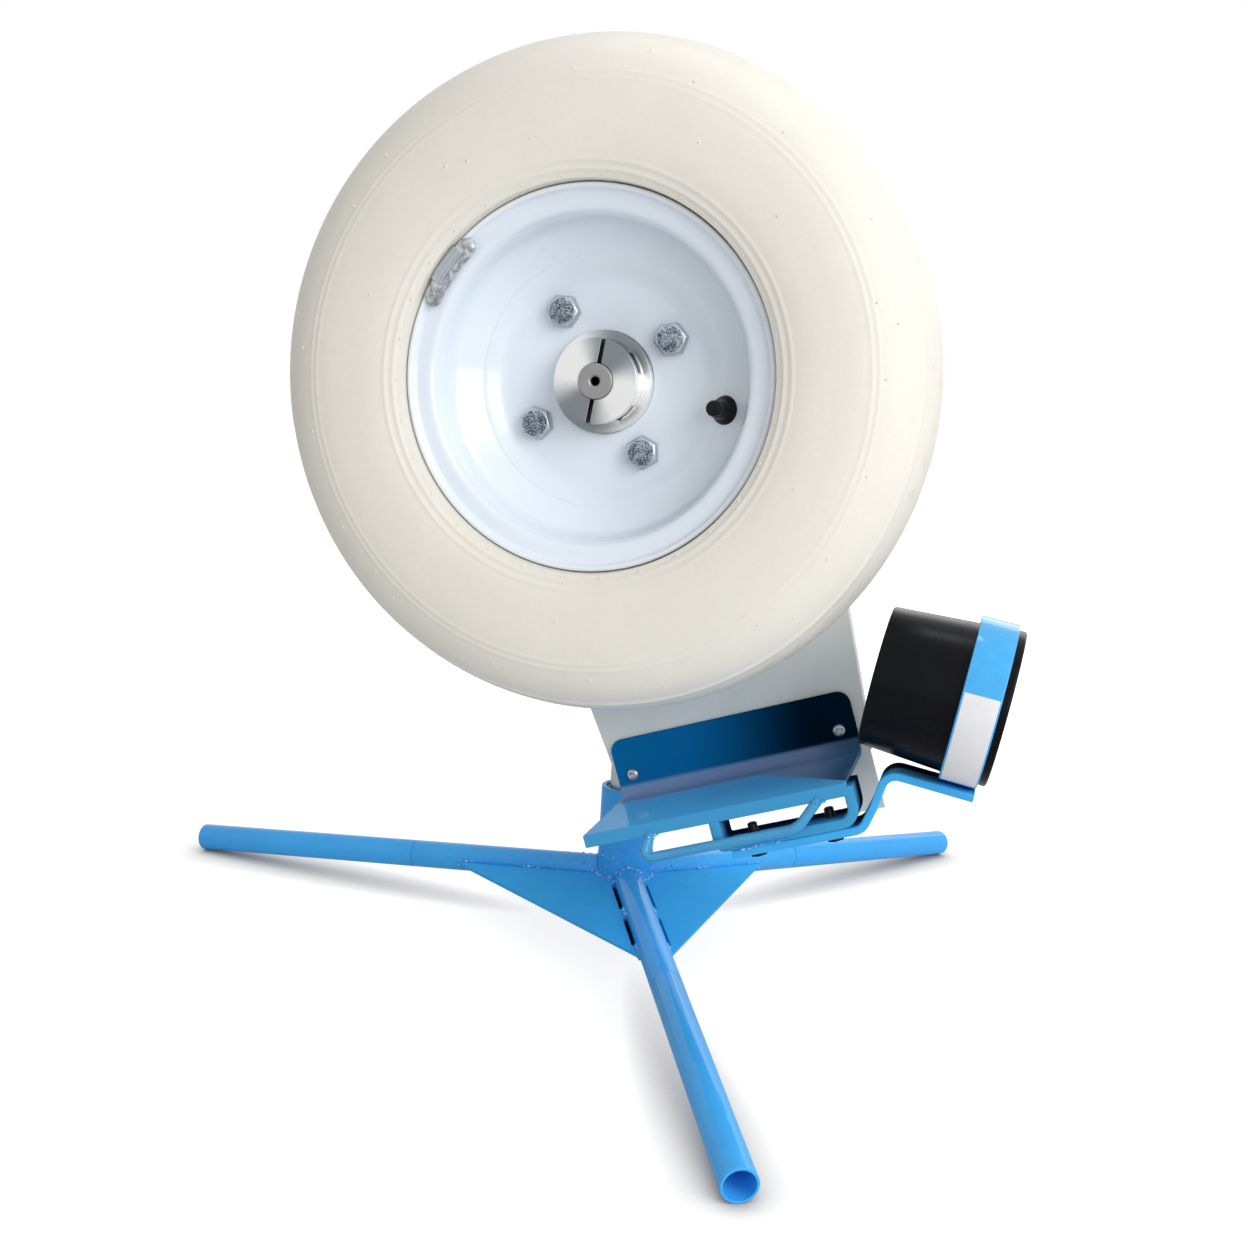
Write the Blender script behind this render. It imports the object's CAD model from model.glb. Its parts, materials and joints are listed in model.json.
"""Looks of the single-wheel ball pitching machine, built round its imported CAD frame."""

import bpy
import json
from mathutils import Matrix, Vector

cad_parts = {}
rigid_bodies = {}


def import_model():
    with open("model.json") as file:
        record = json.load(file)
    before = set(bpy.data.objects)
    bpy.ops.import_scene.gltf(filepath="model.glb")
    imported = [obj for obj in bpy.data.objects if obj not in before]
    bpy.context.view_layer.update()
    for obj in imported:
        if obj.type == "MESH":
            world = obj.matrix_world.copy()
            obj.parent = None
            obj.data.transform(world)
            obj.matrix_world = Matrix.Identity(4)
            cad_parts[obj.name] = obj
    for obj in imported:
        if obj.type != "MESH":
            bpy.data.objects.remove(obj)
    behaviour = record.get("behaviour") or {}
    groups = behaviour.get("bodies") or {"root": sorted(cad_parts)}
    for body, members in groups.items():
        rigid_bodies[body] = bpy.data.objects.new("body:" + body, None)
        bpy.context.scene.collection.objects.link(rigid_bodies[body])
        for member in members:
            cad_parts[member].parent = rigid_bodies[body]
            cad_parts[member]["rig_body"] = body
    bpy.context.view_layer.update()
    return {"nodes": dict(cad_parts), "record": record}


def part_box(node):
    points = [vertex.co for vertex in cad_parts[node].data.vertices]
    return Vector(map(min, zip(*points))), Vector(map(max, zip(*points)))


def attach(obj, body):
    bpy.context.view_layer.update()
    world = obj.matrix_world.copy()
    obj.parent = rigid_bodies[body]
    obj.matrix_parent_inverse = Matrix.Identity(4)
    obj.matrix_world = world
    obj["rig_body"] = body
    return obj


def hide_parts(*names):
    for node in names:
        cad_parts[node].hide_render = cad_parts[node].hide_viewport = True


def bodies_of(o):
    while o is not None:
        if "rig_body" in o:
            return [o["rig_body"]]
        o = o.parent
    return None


bl_info = {
    "name": "Ball Pitching Machine",
    "version": (1, 0, 0),
    "blender": (4, 5, 0),
    "location": "3D View > Sidebar > Machine",
    "description": "Builds the surfaces, welds, fasteners and finishes of the pitching machine",
    "category": "Object",
}

import json
import math
import random

import bmesh
import bpy
from bpy.props import FloatProperty, FloatVectorProperty, PointerProperty
from mathutils import Matrix, Vector

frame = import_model()

MM = 0.001  # shapes are worked in millimetres and stored in metres


# ---------- places, in millimetres, as the CAD frame has them ----------
def turn(axis, degrees):
    return Matrix.Rotation(math.radians(degrees), 4, axis)


def shift(x, y, z):
    return Matrix.Translation((x, y, z))


def cad_box(node):
    """Lowest and highest corner of a CAD node, in millimetres."""
    low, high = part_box(node)
    return low / MM, high / MM


TYRE_LOW, TYRE_HIGH = cad_box("tyre")
AXLE = (TYRE_LOW + TYRE_HIGH) / 2
TYRE_R = (TYRE_HIGH.z - TYRE_LOW.z) / 2
TYRE_HALF_W = (TYRE_HIGH.y - TYRE_LOW.y) / 2
TRACK_TILT = 18.9
WHEEL_TURN = 33.6
CHUTE_DROP = 9.5
BASE_TURN = 24.4
LEG_DROOP = 5.5
LEG_AZIMUTHS = {"front": BASE_TURN - 90, "left": BASE_TURN + 150, "right": BASE_TURN + 30}
LEG_REACH = 384
SEAM_REACH = 179
TUBE_R = 10.5
TUBE_WALL = 1.6
HUB_H = LEG_REACH * math.sin(math.radians(LEG_DROOP)) + TUBE_R * math.cos(math.radians(LEG_DROOP))
SOCKET_R = 20.65
SOCKET_WALL = 3.2
LOCK_H = 87.5
FLOOR_Y = -276.5
LIP_OUT = 22
TRACK_BACK = -78
SHEET_T = 3.2
FRAME_LOW = -305
FRAME_MID_Z = LIP_OUT - 15
FRAME_BAR_T = 6.5
CHUTE_BAR_T = 5
CHUTE_AT = Vector((183.5, -168.4, 0))
BAND_R = 51.6
MOTOR_R = 56
CASE_FRONT = -99.7
CASE_BACK = -214.7
MOTOR_BACK = -230.7
BOX_Y = 74.05
FACE_Y = 108.05
BOX_REAR = -165.7
DIAL_X = -28
DIAL_ZERO = 225
SWITCH_X = 30
SEAT_R = 101
LUG_CIRCLE_R = 50.8
DISC_FRONT = 3.5

AXLE_PLACE = Matrix.Translation(AXLE) @ turn("X", 90)
HEAD = AXLE_PLACE @ turn("Z", TRACK_TILT)
WHEEL = AXLE_PLACE @ turn("Z", WHEEL_TURN)
CHUTE = AXLE_PLACE @ shift(*CHUTE_AT) @ turn("Z", -CHUTE_DROP) @ turn("Y", 90)
STEM = AXLE_PLACE @ turn("Z", -9.3) @ shift(81.5, 0, 7.5) @ turn("Y", -15.5)
LOCK = shift(0, 0, LOCK_H) @ turn("Z", 100) @ turn("Y", 90)
HERE = Matrix.Identity(4)
GUSSET_SLOPE = math.degrees(math.atan(2 * math.tan(math.radians(LEG_DROOP))))
GUSSET_HALF = math.acos(math.sqrt((math.cos(math.radians(LEG_DROOP)) / 2) ** 2
                                  + math.sin(math.radians(LEG_DROOP)) ** 2))
GUSSETS = {"gusset_front_left": (BASE_TURN - 150, 1), "gusset_front_right": (BASE_TURN - 30, -1),
           "gusset_rear": (BASE_TURN + 90, 0)}
GUSSET_T = 3.0
GUSSET_START = 21
GUSSET_REACH = 156
SLITS = ((25, 66), (80, 122))
STITCHES = ((21, 25), (66, 80), (122, 137))
SLIT_WIDE = 3.3
SLIT_NARROW = 1.6

# lamp name: size in metres, watts, place, the point it faces
LAMPS = {
    "key_softbox": ((1.5, 1.5), 36, (2.4, -1.5, 2.0), (0, 0, 0.25)),
    "front_softbox": ((1.4, 1.0), 15, (1.5, -1.8, 0.85), (0, 0, 0.2)),
    "top_softbox": ((1.2, 0.5), 10, (-0.1, 0.3, 2.8), (0, 0, 0.2)),
    "rear_softbox": ((1.8, 1.2), 9, (0.6, 2.4, 1.5), (0, 0, 0.3)),
}
CAMERA_AT = (0.2562, -1.0172, 0.3967)
CAMERA_TURNS = (14.77, 8.70, -3.38)  # heading, pitch and roll in degrees
CAMERA_LENS = 41.26


def leg_place(name):
    """Frame whose z axis runs out along a leg."""
    return shift(0, 0, HUB_H) @ turn("Z", LEG_AZIMUTHS[name]) @ turn("Y", LEG_DROOP) @ turn("Y", 90)


# ---------- what a user may change ----------
def tint(red, green, blue):
    """Linear colour from the red, green and blue of a paint card, 0 to 255."""
    def linear(level):
        share = level / 255
        return share / 12.92 if share <= 0.04045 else ((share + 0.055) / 1.055) ** 2.4
    return linear(red), linear(green), linear(blue)


def colour_choice(name, description, default):
    return FloatVectorProperty(name=name, description=description, default=default,
                               subtype="COLOR", size=3, min=0, max=1)


def length_choice(name, description, default, high):
    return FloatProperty(name=name, description=description, default=default, min=0, max=high,
                         unit="LENGTH", precision=5)


class MachineColours(bpy.types.PropertyGroup):
    blue: colour_choice("Blue paint", "Gloss paint of the base and track", tint(62, 166, 240))
    navy: colour_choice("Deep blue", "Track's back plate, its shade painted in", tint(12, 108, 168))
    bar: colour_choice("Bar paint", "Duller blue of the bars and edges under the track", tint(66, 158, 210))
    track: colour_choice("Track paint", "Bright blue of the track's floor", tint(88, 184, 255))
    band: colour_choice("Band paint", "Lighter blue of the chute's band and bracket", tint(70, 178, 242))
    rim: colour_choice("Rim paint", "Cool white paint of rim and disc", tint(234, 243, 253))
    tyre: colour_choice("Tyre", "Cream rubber of the tyre", tint(240, 236, 226))
    bead: colour_choice("Tyre bead", "Slightly yellower rubber beside the rim", tint(234, 231, 219))
    chute: colour_choice("Chute", "Black moulded feed chute", tint(9, 11, 15))
    plate: colour_choice("Plate", "Galvanised sheet", tint(226, 232, 230))
    motor: colour_choice("Motor", "Paint of the motor case", tint(40, 42, 46))
    box: colour_choice("Control box", "Paint of the control box", tint(150, 153, 156))


class MachineSizes(bpy.types.PropertyGroup):
    sheet_round: length_choice("Sheet edge", "Rounding of cut sheet edges", 0.0005, 0.002)
    bar_round: length_choice("Bar edge", "Rounding of flat bar edges", 0.0009, 0.003)
    cast_round: length_choice("Machined edge", "Rounding of machined and moulded edges", 0.0006, 0.002)
    ring_height: length_choice("Tyre ring", "Height of the moulded rings on the tyre", 0.0006, 0.002)
    bead_size: length_choice("Weld ripple", "Half width of a weld ripple", 0.0024, 0.004)


def sizes():
    return bpy.context.scene.machine_sizes


def colours():
    return bpy.context.scene.machine_colours


# ---------- shader maths ----------
class Flow:
    """A number that varies over a surface. Arithmetic on it adds Math nodes."""

    def __init__(self, finish, socket):
        self.finish = finish
        self.socket = socket

    def _math(self, operation, first, second=0.0, clamp=False):
        settings = {"operation": operation, "use_clamp": clamp}
        return self.finish.node("ShaderNodeMath", settings, {0: first, 1: second}).flow()

    def __add__(self, other):
        return self._math("ADD", self, other)

    def __sub__(self, other):
        return self._math("SUBTRACT", self, other)

    def __rsub__(self, other):
        return self._math("SUBTRACT", other, self)

    def __mul__(self, other):
        return self._math("MULTIPLY", self, other)

    def __pow__(self, other):
        return self._math("POWER", self, other)

    __radd__ = __add__
    __rmul__ = __mul__

    def sine(self):
        return self._math("SINE", self)

    def clamped(self):
        return self._math("ADD", self, 0.0, clamp=True)

    def ramp(self, low, high):
        """0 below low and 1 above high, smooth between."""
        sockets = {"Value": self, "From Min": low, "From Max": high}
        return self.finish.node("ShaderNodeMapRange", {"interpolation_type": "SMOOTHSTEP"}, sockets).flow()


class Step:
    """A node just added, with its outputs at hand."""

    def __init__(self, finish, node):
        self.finish = finish
        self.node = node

    def flow(self, output=0):
        return Flow(self.finish, self.node.outputs[output])


class Graph:
    """A node tree to which every node is added in the same way."""

    def __init__(self, tree):
        self.tree = tree

    def node(self, kind, settings=None, sockets=None):
        """Adds a node: its settings first, then the values or links of its sockets."""
        made = self.tree.nodes.new(kind)
        for name, value in (settings or {}).items():
            setattr(made, name, value)
        for name, value in (sockets or {}).items():
            value = getattr(value, "socket", value)
            if isinstance(value, bpy.types.NodeSocket):
                self.tree.links.new(value, made.inputs[name])
            else:
                made.inputs[name].default_value = value
        return Step(self, made)


class Finish(Graph):
    """A material under construction on one Principled shader."""

    def __init__(self, name, **constants):
        self.material = bpy.data.materials.new(name)
        self.material.use_nodes = True
        super().__init__(self.material.node_tree)
        self.shader = self.tree.nodes["Principled BSDF"]
        for socket, value in constants.items():
            self.shader.inputs[socket.replace("_", " ")].default_value = value
        self.where = self.node("ShaderNodeTexCoord").flow("Object")

    def placed(self, offset=(0, 0, 0), scale=(1, 1, 1)):
        """Object coordinates moved or stretched."""
        sockets = {"Vector": self.where, "Location": offset, "Scale": scale}
        return self.node("ShaderNodeMapping", {"vector_type": "POINT"}, sockets).flow()

    def noise(self, scale, detail=3.0, rough=0.55, where=None):
        sockets = {"Vector": where or self.where, "Scale": scale, "Detail": detail, "Roughness": rough}
        return self.node("ShaderNodeTexNoise", None, sockets).flow("Fac")

    def cells(self, scale, output="Color", feature="F1"):
        sockets = {"Vector": self.where, "Scale": scale}
        return self.node("ShaderNodeTexVoronoi", {"feature": feature}, sockets).flow(output)

    def part(self, vector, axis):
        """One axis of a vector flow."""
        return self.node("ShaderNodeSeparateXYZ", None, {0: vector}).flow(axis)

    def blend(self, share, first, second):
        """Colour between two colours."""
        settings = {"data_type": "RGBA", "blend_type": "MIX", "clamp_result": True}
        return self.node("ShaderNodeMix", settings, {0: share, 6: full(first), 7: full(second)}).flow(2)

    def feed(self, socket, value):
        self.tree.links.new(value.socket, self.shader.inputs[socket])

    def colour(self, value):
        self.feed("Base Color", value)

    def bump(self, height, strength, distance):
        sockets = {"Height": height, "Strength": strength, "Distance": distance}
        self.feed("Normal", self.node("ShaderNodeBump", None, sockets).flow())

    def from_axle(self):
        """Object coordinates with the axle's middle as their origin."""
        return self.placed(offset=tuple(-c * MM for c in AXLE))

    def radius_and_angle(self):
        """Distance from the axle and angle round it, in metres and radians."""
        seen = self.from_axle()
        x = self.part(seen, "X")
        z = self.part(seen, "Z")
        radius = (x * x + z * z) ** 0.5
        angle = self.node("ShaderNodeMath", {"operation": "ARCTAN2"}, {0: z, 1: x}).flow()
        return radius, angle


def full(colour):
    """Four channels from three, or a flow unchanged."""
    if isinstance(colour, Flow):
        return colour
    return (*tuple(colour)[:3], 1.0)


def shade(colour, share):
    """The same colour, lighter or darker by a share."""
    return tuple(min(1.0, c * share) for c in tuple(colour)[:3])


# ---------- finishes ----------
def gloss_paint(name, colour, rough=0.3, coat=0.07, depth=0.08, grit=0.02, sheen=0.1, sparkle=0.0,
                deepened=None):
    """Sprayed gloss paint: cloudy tone, orange peel and, over welds, bright specks.

    deepened is a function that paints further tones over it."""
    made = Finish(name, Coat_Roughness=0.08, Coat_IOR=1.5, Specular_IOR_Level=sheen)
    cloud = made.noise(9, 4, 0.6)
    fine = made.noise(160, 3, 0.6)
    tone = (cloud * 0.7 + fine * 0.3).ramp(0.3, 0.7)
    base = made.blend(tone, shade(colour, 1 - depth), shade(colour, 1 + depth))
    gloss = (coat + 0.05 - cloud * 0.1).clamped()
    if deepened:
        base, gloss = deepened(made, base, gloss)
    if sparkle:
        specks = made.noise(520, 2, 0.5).ramp(0.57, 0.63) * sparkle
        base = made.blend(specks.clamped(), base, tint(232, 242, 250))
    made.colour(base)
    made.feed("Roughness", cloud * 0.12 + fine * 0.1 + (rough - 0.11))
    made.feed("Coat Weight", gloss)
    made.bump(made.noise(420, 2, 0.4) + made.noise(1500, 2, 0.5) * grit * 4, 0.06, 0.00035)
    return made.material


def track_tones(made, base, gloss):
    """Track sheet with painted-in shade: a greyer band towards the bend, a duller edge, a dark back plate."""
    x, y, z = (made.part(made.from_axle(), axis) for axis in "XYZ")
    c, s = math.cos(math.radians(TRACK_TILT)), math.sin(math.radians(TRACK_TILT))
    along = x * c + z * s
    upright = (z * c - x * s).ramp(-0.2708, -0.2672)
    from_back = -TRACK_BACK * MM - y
    crease = (along - 0.018).clamped() * 1.07 + 0.020
    greyed = 1 - (from_back - crease).ramp(-0.0015, 0.0015)
    floor = made.blend(greyed, base, tint(122, 150, 196))
    floor = made.blend(greyed * along.ramp(0.045, 0.09), floor, tint(44, 92, 128))
    edge = from_back.ramp(0.0985, 0.1002)
    dark = along.ramp(-0.04, 0.06)
    navy = made.blend(dark, colours().navy, shade(colours().navy, 0.08))
    return made.blend(upright, made.blend(edge, floor, colours().bar), navy), gloss * (1 - upright)


def deep_inside(made, base, gloss):
    """Paint of the bars, with shade painted in from their front edge inwards."""
    inwards = made.part(made.where, "Y").ramp(-0.158, -0.140)
    return made.blend(inwards, base, shade(colours().navy, 0.12)), gloss * (1 - inwards)


def galvanised_sheet():
    made = Finish("galvanised_sheet", Metallic=0.12, Specular_IOR_Level=0.5)
    spangle = made.part(made.cells(62), "X")
    streak = made.noise(26, 5, 0.62, made.placed(scale=(1.0, 1.0, 0.22)))
    cloud = made.noise(7, 3)
    tone = (spangle * 0.08 + streak * 0.52 + cloud * 0.4).ramp(0.25, 0.75)
    plate = colours().plate
    made.colour(made.blend(tone, shade(plate, 0.93), shade(plate, 1.05)))
    made.feed("Roughness", spangle * 0.08 + streak * 0.14 + 0.4)
    made.bump(made.noise(500, 3, 0.6) + spangle * 0.2, 0.12, 0.0003)
    return made.material


def plated_steel(name, colour, rough=0.32, grain=(1, 1, 1), depth=0.12, drilled=0.0):
    """Zinc-plated or turned steel with fine grain, stains and tiny pits."""
    made = Finish(name, Metallic=0.92, Specular_IOR_Level=0.5)
    brushed = made.noise(190, 4, 0.6, made.placed(scale=grain))
    stain = made.noise(34, 4, 0.6)
    pits = made.noise(1300, 2, 0.5).ramp(0.62, 0.72)
    tone = (brushed * 0.5 + stain * 0.5).ramp(0.3, 0.7)
    base = made.blend(tone, shade(colour, 1 - depth), shade(colour, 1 + depth))
    base = made.blend(pits * 0.35, base, shade(colour, 0.45))
    if drilled:
        radius, _ = made.radius_and_angle()
        base = made.blend(radius.ramp(drilled - 0.0003, drilled + 0.0002), tint(16, 16, 18), base)
    made.colour(base)
    made.feed("Roughness", brushed * 0.16 + stain * 0.14 + (rough - 0.12))
    made.bump(brushed + pits * -0.8, 0.2, 0.0003)
    return made.material


def bolt_zinc():
    """Dark mottled zinc of the wheel bolts."""
    made = Finish("bolt_zinc", Metallic=0.85)
    mottle = made.noise(1100, 3, 0.6)
    patch = made.noise(190, 4, 0.65)
    tone = (mottle * 0.7 + patch * 0.3).ramp(0.40, 0.62)
    made.colour(made.blend(tone, tint(58, 68, 80), tint(186, 200, 214)))
    made.feed("Roughness", patch * 0.3 + 0.2)
    made.bump(mottle * 0.5 + patch, 0.2, 0.0003)
    return made.material


def turned_aluminium():
    """Lathe-turned aluminium: fine grooves round the axle and wedges of brightness."""
    made = Finish("turned_aluminium", Metallic=1.0)
    radius, angle = made.radius_and_angle()
    groove = (radius * (2 * math.pi / 0.0007)).sine()
    wedge = (angle * 2.0 + 2.6).sine() * 0.5 + 0.5
    cloud = made.noise(60, 4, 0.6)
    tone = (wedge * 0.8 + cloud * 0.2).ramp(0.15, 0.8)
    made.colour(made.blend(tone, tint(140, 147, 152), tint(250, 250, 250)))
    made.feed("Roughness", cloud * 0.16 + (groove * 0.5 + 0.5) * 0.08 + 0.2)
    made.bump(groove * 0.5 + made.noise(700, 2) * 0.6, 0.14, 0.0002)
    return made.material


def tyre_rubber():
    """Cream rubber, yellower at the bead and greyed in patches on the tread."""
    made = Finish("tyre_rubber", Specular_IOR_Level=0.35)
    radius, _ = made.radius_and_angle()
    cloud = made.noise(8, 4, 0.6)
    fine = made.noise(240, 4, 0.65)
    bead = 1 - radius.ramp(0.116, 0.129)
    tread = radius.ramp(0.199, 0.206)
    tone = (cloud * 0.65 + fine * 0.35).ramp(0.3, 0.7)
    tyre = colours().tyre
    base = made.blend(tone, shade(tyre, 0.965), shade(tyre, 1.025))
    base = made.blend((bead * 0.4).clamped(), base, colours().bead)
    patch = (made.noise(70, 5, 0.7).ramp(0.52, 0.72) * tread * 0.28).clamped()
    made.colour(made.blend(patch, base, tint(176, 172, 162)))
    made.feed("Roughness", cloud * 0.1 + fine * 0.12 + 0.42)
    made.bump(fine + made.noise(1100, 2) * 0.5, 0.16, 0.0004)
    return made.material


def rim_enamel():
    """Cool white enamel, smooth and glossy with faint runs."""
    made = Finish("rim_enamel", Coat_Roughness=0.06, Specular_IOR_Level=0.5)
    radius, _ = made.radius_and_angle()
    cloud = made.noise(14, 3, 0.5)
    rim = colours().rim
    base = made.blend(cloud.ramp(0.3, 0.7), shade(rim, 0.965), shade(rim, 1.02))
    edge = radius.ramp(0.1115, 0.1145)
    made.colour(made.blend(edge * 0.6, base, tint(246, 249, 253)))
    made.feed("Roughness", cloud * 0.1 + 0.24)
    made.feed("Coat Weight", (0.75 - cloud * 0.2).clamped())
    made.bump(made.noise(40, 2, 0.4), 0.03, 0.0003)
    return made.material


def moulded(name, colour, rough=0.42, grain=260, lift=1.9, strength=0.25, sheen=0.4):
    """Moulded plastic or rubber with a fine grain and pale streaks."""
    made = Finish(name, Specular_IOR_Level=sheen)
    cloud = made.noise(22, 4, 0.6)
    fine = made.noise(grain, 4, 0.7)
    streak = made.noise(120, 5, 0.75, made.placed(scale=(1, 1, 0.3))).ramp(0.6, 0.74)
    base = made.blend(cloud.ramp(0.3, 0.7), shade(colour, 0.8), shade(colour, 1.25))
    made.colour(made.blend(streak * 0.35, base, shade(colour, lift * 2)))
    made.feed("Roughness", fine * 0.16 + cloud * 0.1 + (rough - 0.1))
    made.bump(fine, strength, 0.0004)
    return made.material


def windings():
    """Varnished laminations: dark steel bands with copper between."""
    made = Finish("laminations", Metallic=0.5)
    bands = (made.part(made.where, "Y") * 3600.0).sine() * 0.5 + 0.5
    made.colour(made.blend(bands, tint(120, 66, 34), tint(88, 84, 80)))
    made.feed("Roughness", made.noise(120) * 0.3 + 0.3)
    made.bump(bands, 0.3, 0.0003)
    return made.material


def cast_weight():
    """Cast zinc of the balance weight: pale, lumpy and dull."""
    made = Finish("cast_weight", Metallic=0.45)
    lumps = made.noise(230, 3, 0.6)
    pits = made.noise(900, 2, 0.5).ramp(0.6, 0.72)
    made.colour(made.blend(lumps.ramp(0.35, 0.65), tint(140, 144, 150), tint(212, 215, 220)))
    made.feed("Roughness", lumps * 0.3 + 0.25)
    made.bump(lumps - pits * 0.4, 0.4, 0.0006)
    return made.material


def circuit_board():
    made = Finish("circuit_board")
    tracks = made.cells(240, "Distance", feature="DISTANCE_TO_EDGE").ramp(0.02, 0.05)
    made.colour(made.blend(tracks, tint(60, 140, 90), tint(18, 78, 44)))
    made.feed("Roughness", made.noise(90) * 0.3 + 0.3)
    made.bump(tracks, 0.2, 0.0002)
    return made.material


def blank_label(name, colour):
    """Blank sticker film with a soft sheen and a faint cloud."""
    made = Finish(name)
    cloud = made.noise(70, 4, 0.6)
    made.colour(made.blend(cloud.ramp(0.3, 0.75), shade(colour, 0.95), colour))
    made.feed("Roughness", cloud * 0.15 + 0.35)
    made.bump(cloud, 0.08, 0.0002)
    return made.material


FINISHES = {}


def make_finishes():
    """Makes every material once, under the record's slot names and a few extra ones."""
    blue = colours().blue
    steel = tint(196, 199, 203)
    FINISHES.update({
        "blue_paint": gloss_paint("blue_gloss_paint", blue),
        "gusset": gloss_paint("gusset_gloss_paint", tint(70, 182, 255), 0.4, 0.0, sheen=0.0),
        "tube": gloss_paint("tube_gloss_paint", shade(blue, 1.12), 0.3, 0.4, sheen=0.05),
        "track": gloss_paint("track_gloss_paint", colours().track, 0.3, 0.3, grit=0.0, sheen=0.0,
                             deepened=track_tones),
        "frame": gloss_paint("frame_gloss_paint", colours().bar, coat=0.2, sheen=0.0, deepened=deep_inside),
        "slit": gloss_paint("slit_paint", shade(colours().navy, 0.1), 0.5, 0.0, sheen=0.0),
        "rod": gloss_paint("rod_gloss_paint", colours().bar, 0.28, 0.7),
        "bracket": gloss_paint("bracket_gloss_paint", colours().band, coat=0.2, sheen=0.0,
                               deepened=deep_inside),
        "band": gloss_paint("band_gloss_paint", colours().band, 0.28, 0.6),
        "weld": gloss_paint("weld_gloss_paint", blue, 0.24, 0.4, 0.12, sparkle=0.8),
        "galvanised": galvanised_sheet(),
        "steel": plated_steel("bright_steel", steel, grain=(1, 1, 0.15)),
        "shaft": plated_steel("shaft_steel", tint(158, 158, 157), 0.46, depth=0.06, drilled=0.0028),
        "black_screw": plated_steel("blackened_screws", tint(40, 41, 44), 0.4),
        "zinc": plated_steel("zinc_fasteners", tint(184, 190, 198), 0.36),
        "bolt": bolt_zinc(),
        "black_plastic": moulded("black_plastic", tint(30, 30, 32)),
        "chute": moulded("chute_moulding", colours().chute, 0.24, 150, 1.6, 0.12, 0.11),
        "motor_paint": gloss_paint("motor_enamel", colours().motor, 0.42, 0.25, 0.14, 0.2),
        "box_paint": gloss_paint("box_enamel", colours().box, 0.42, 0.25, 0.07, 0.35),
        "aluminium": turned_aluminium(),
        "magnet": moulded("ferrite", tint(58, 58, 62), 0.6, 500),
        "copper": windings(),
        "board": circuit_board(),
        "rim_paint": rim_enamel(),
        "tyre": tyre_rubber(),
        "rubber": moulded("valve_rubber", tint(10, 11, 13), 0.28, 300, sheen=0.2),
        "weight": cast_weight(),
        "label": blank_label("blank_label", tint(240, 240, 242)),
        "mark": blank_label("dial_mark", tint(236, 236, 232)),
    })


# ---------- shapes ----------
def clean(bm, gap=1e-4):
    """Joins doubles and turns every face outwards."""
    bmesh.ops.remove_doubles(bm, verts=bm.verts[:], dist=gap)
    bmesh.ops.recalc_face_normals(bm, faces=bm.faces[:])
    return bm


def moved(bm, place):
    bmesh.ops.transform(bm, matrix=place, verts=bm.verts[:])
    return bm


def bevelled(bm, geom, width, segments=2, affect="EDGES", clamp=False):
    """Rounds edges or, on a flat outline, corners."""
    bmesh.ops.bevel(bm, geom=geom, offset=width, offset_type="OFFSET", affect=affect, segments=segments,
                    profile=0.5, material=-1, clamp_overlap=clamp)


def cap_ends(bm):
    """Closes the open end loops of a swept shape."""
    open_edges = [e for e in bm.edges if len(e.link_faces) == 1]
    if open_edges:
        bmesh.ops.holes_fill(bm, edges=open_edges, sides=0)


def round_corners(bm, corners, cuts, segments=5):
    """Rounds the corners of a flat outline, each by its own cut length."""
    for cut in sorted({c for c in cuts if c}):
        chosen = [v for v, c in zip(corners, cuts) if c == cut]
        bevelled(bm, chosen, cut, segments, "VERTICES")


def spun(outline, place=HERE, steps=96, arc=360.0, segments=5):
    """Turned shape: a closed outline of (radius, height, corner cut) spun about z."""
    bm = bmesh.new()
    corners = [bm.verts.new((row[0], 0, row[1])) for row in outline]
    bm.faces.new(corners)
    round_corners(bm, corners, [row[2] if len(row) > 2 else 0 for row in outline], segments)
    bmesh.ops.delete(bm, geom=bm.faces[:], context="FACES_ONLY")
    on_axis = [e for e in bm.edges if all(v.co.x < 1e-6 for v in e.verts)]
    bmesh.ops.delete(bm, geom=on_axis, context="EDGES")
    bmesh.ops.spin(bm, geom=bm.verts[:] + bm.edges[:], cent=(0, 0, 0), axis=(0, 0, 1),
                   angle=math.radians(arc), steps=steps, use_merge=arc >= 360)
    if arc < 360:
        cap_ends(bm)
    return moved(clean(bm), place)


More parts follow.
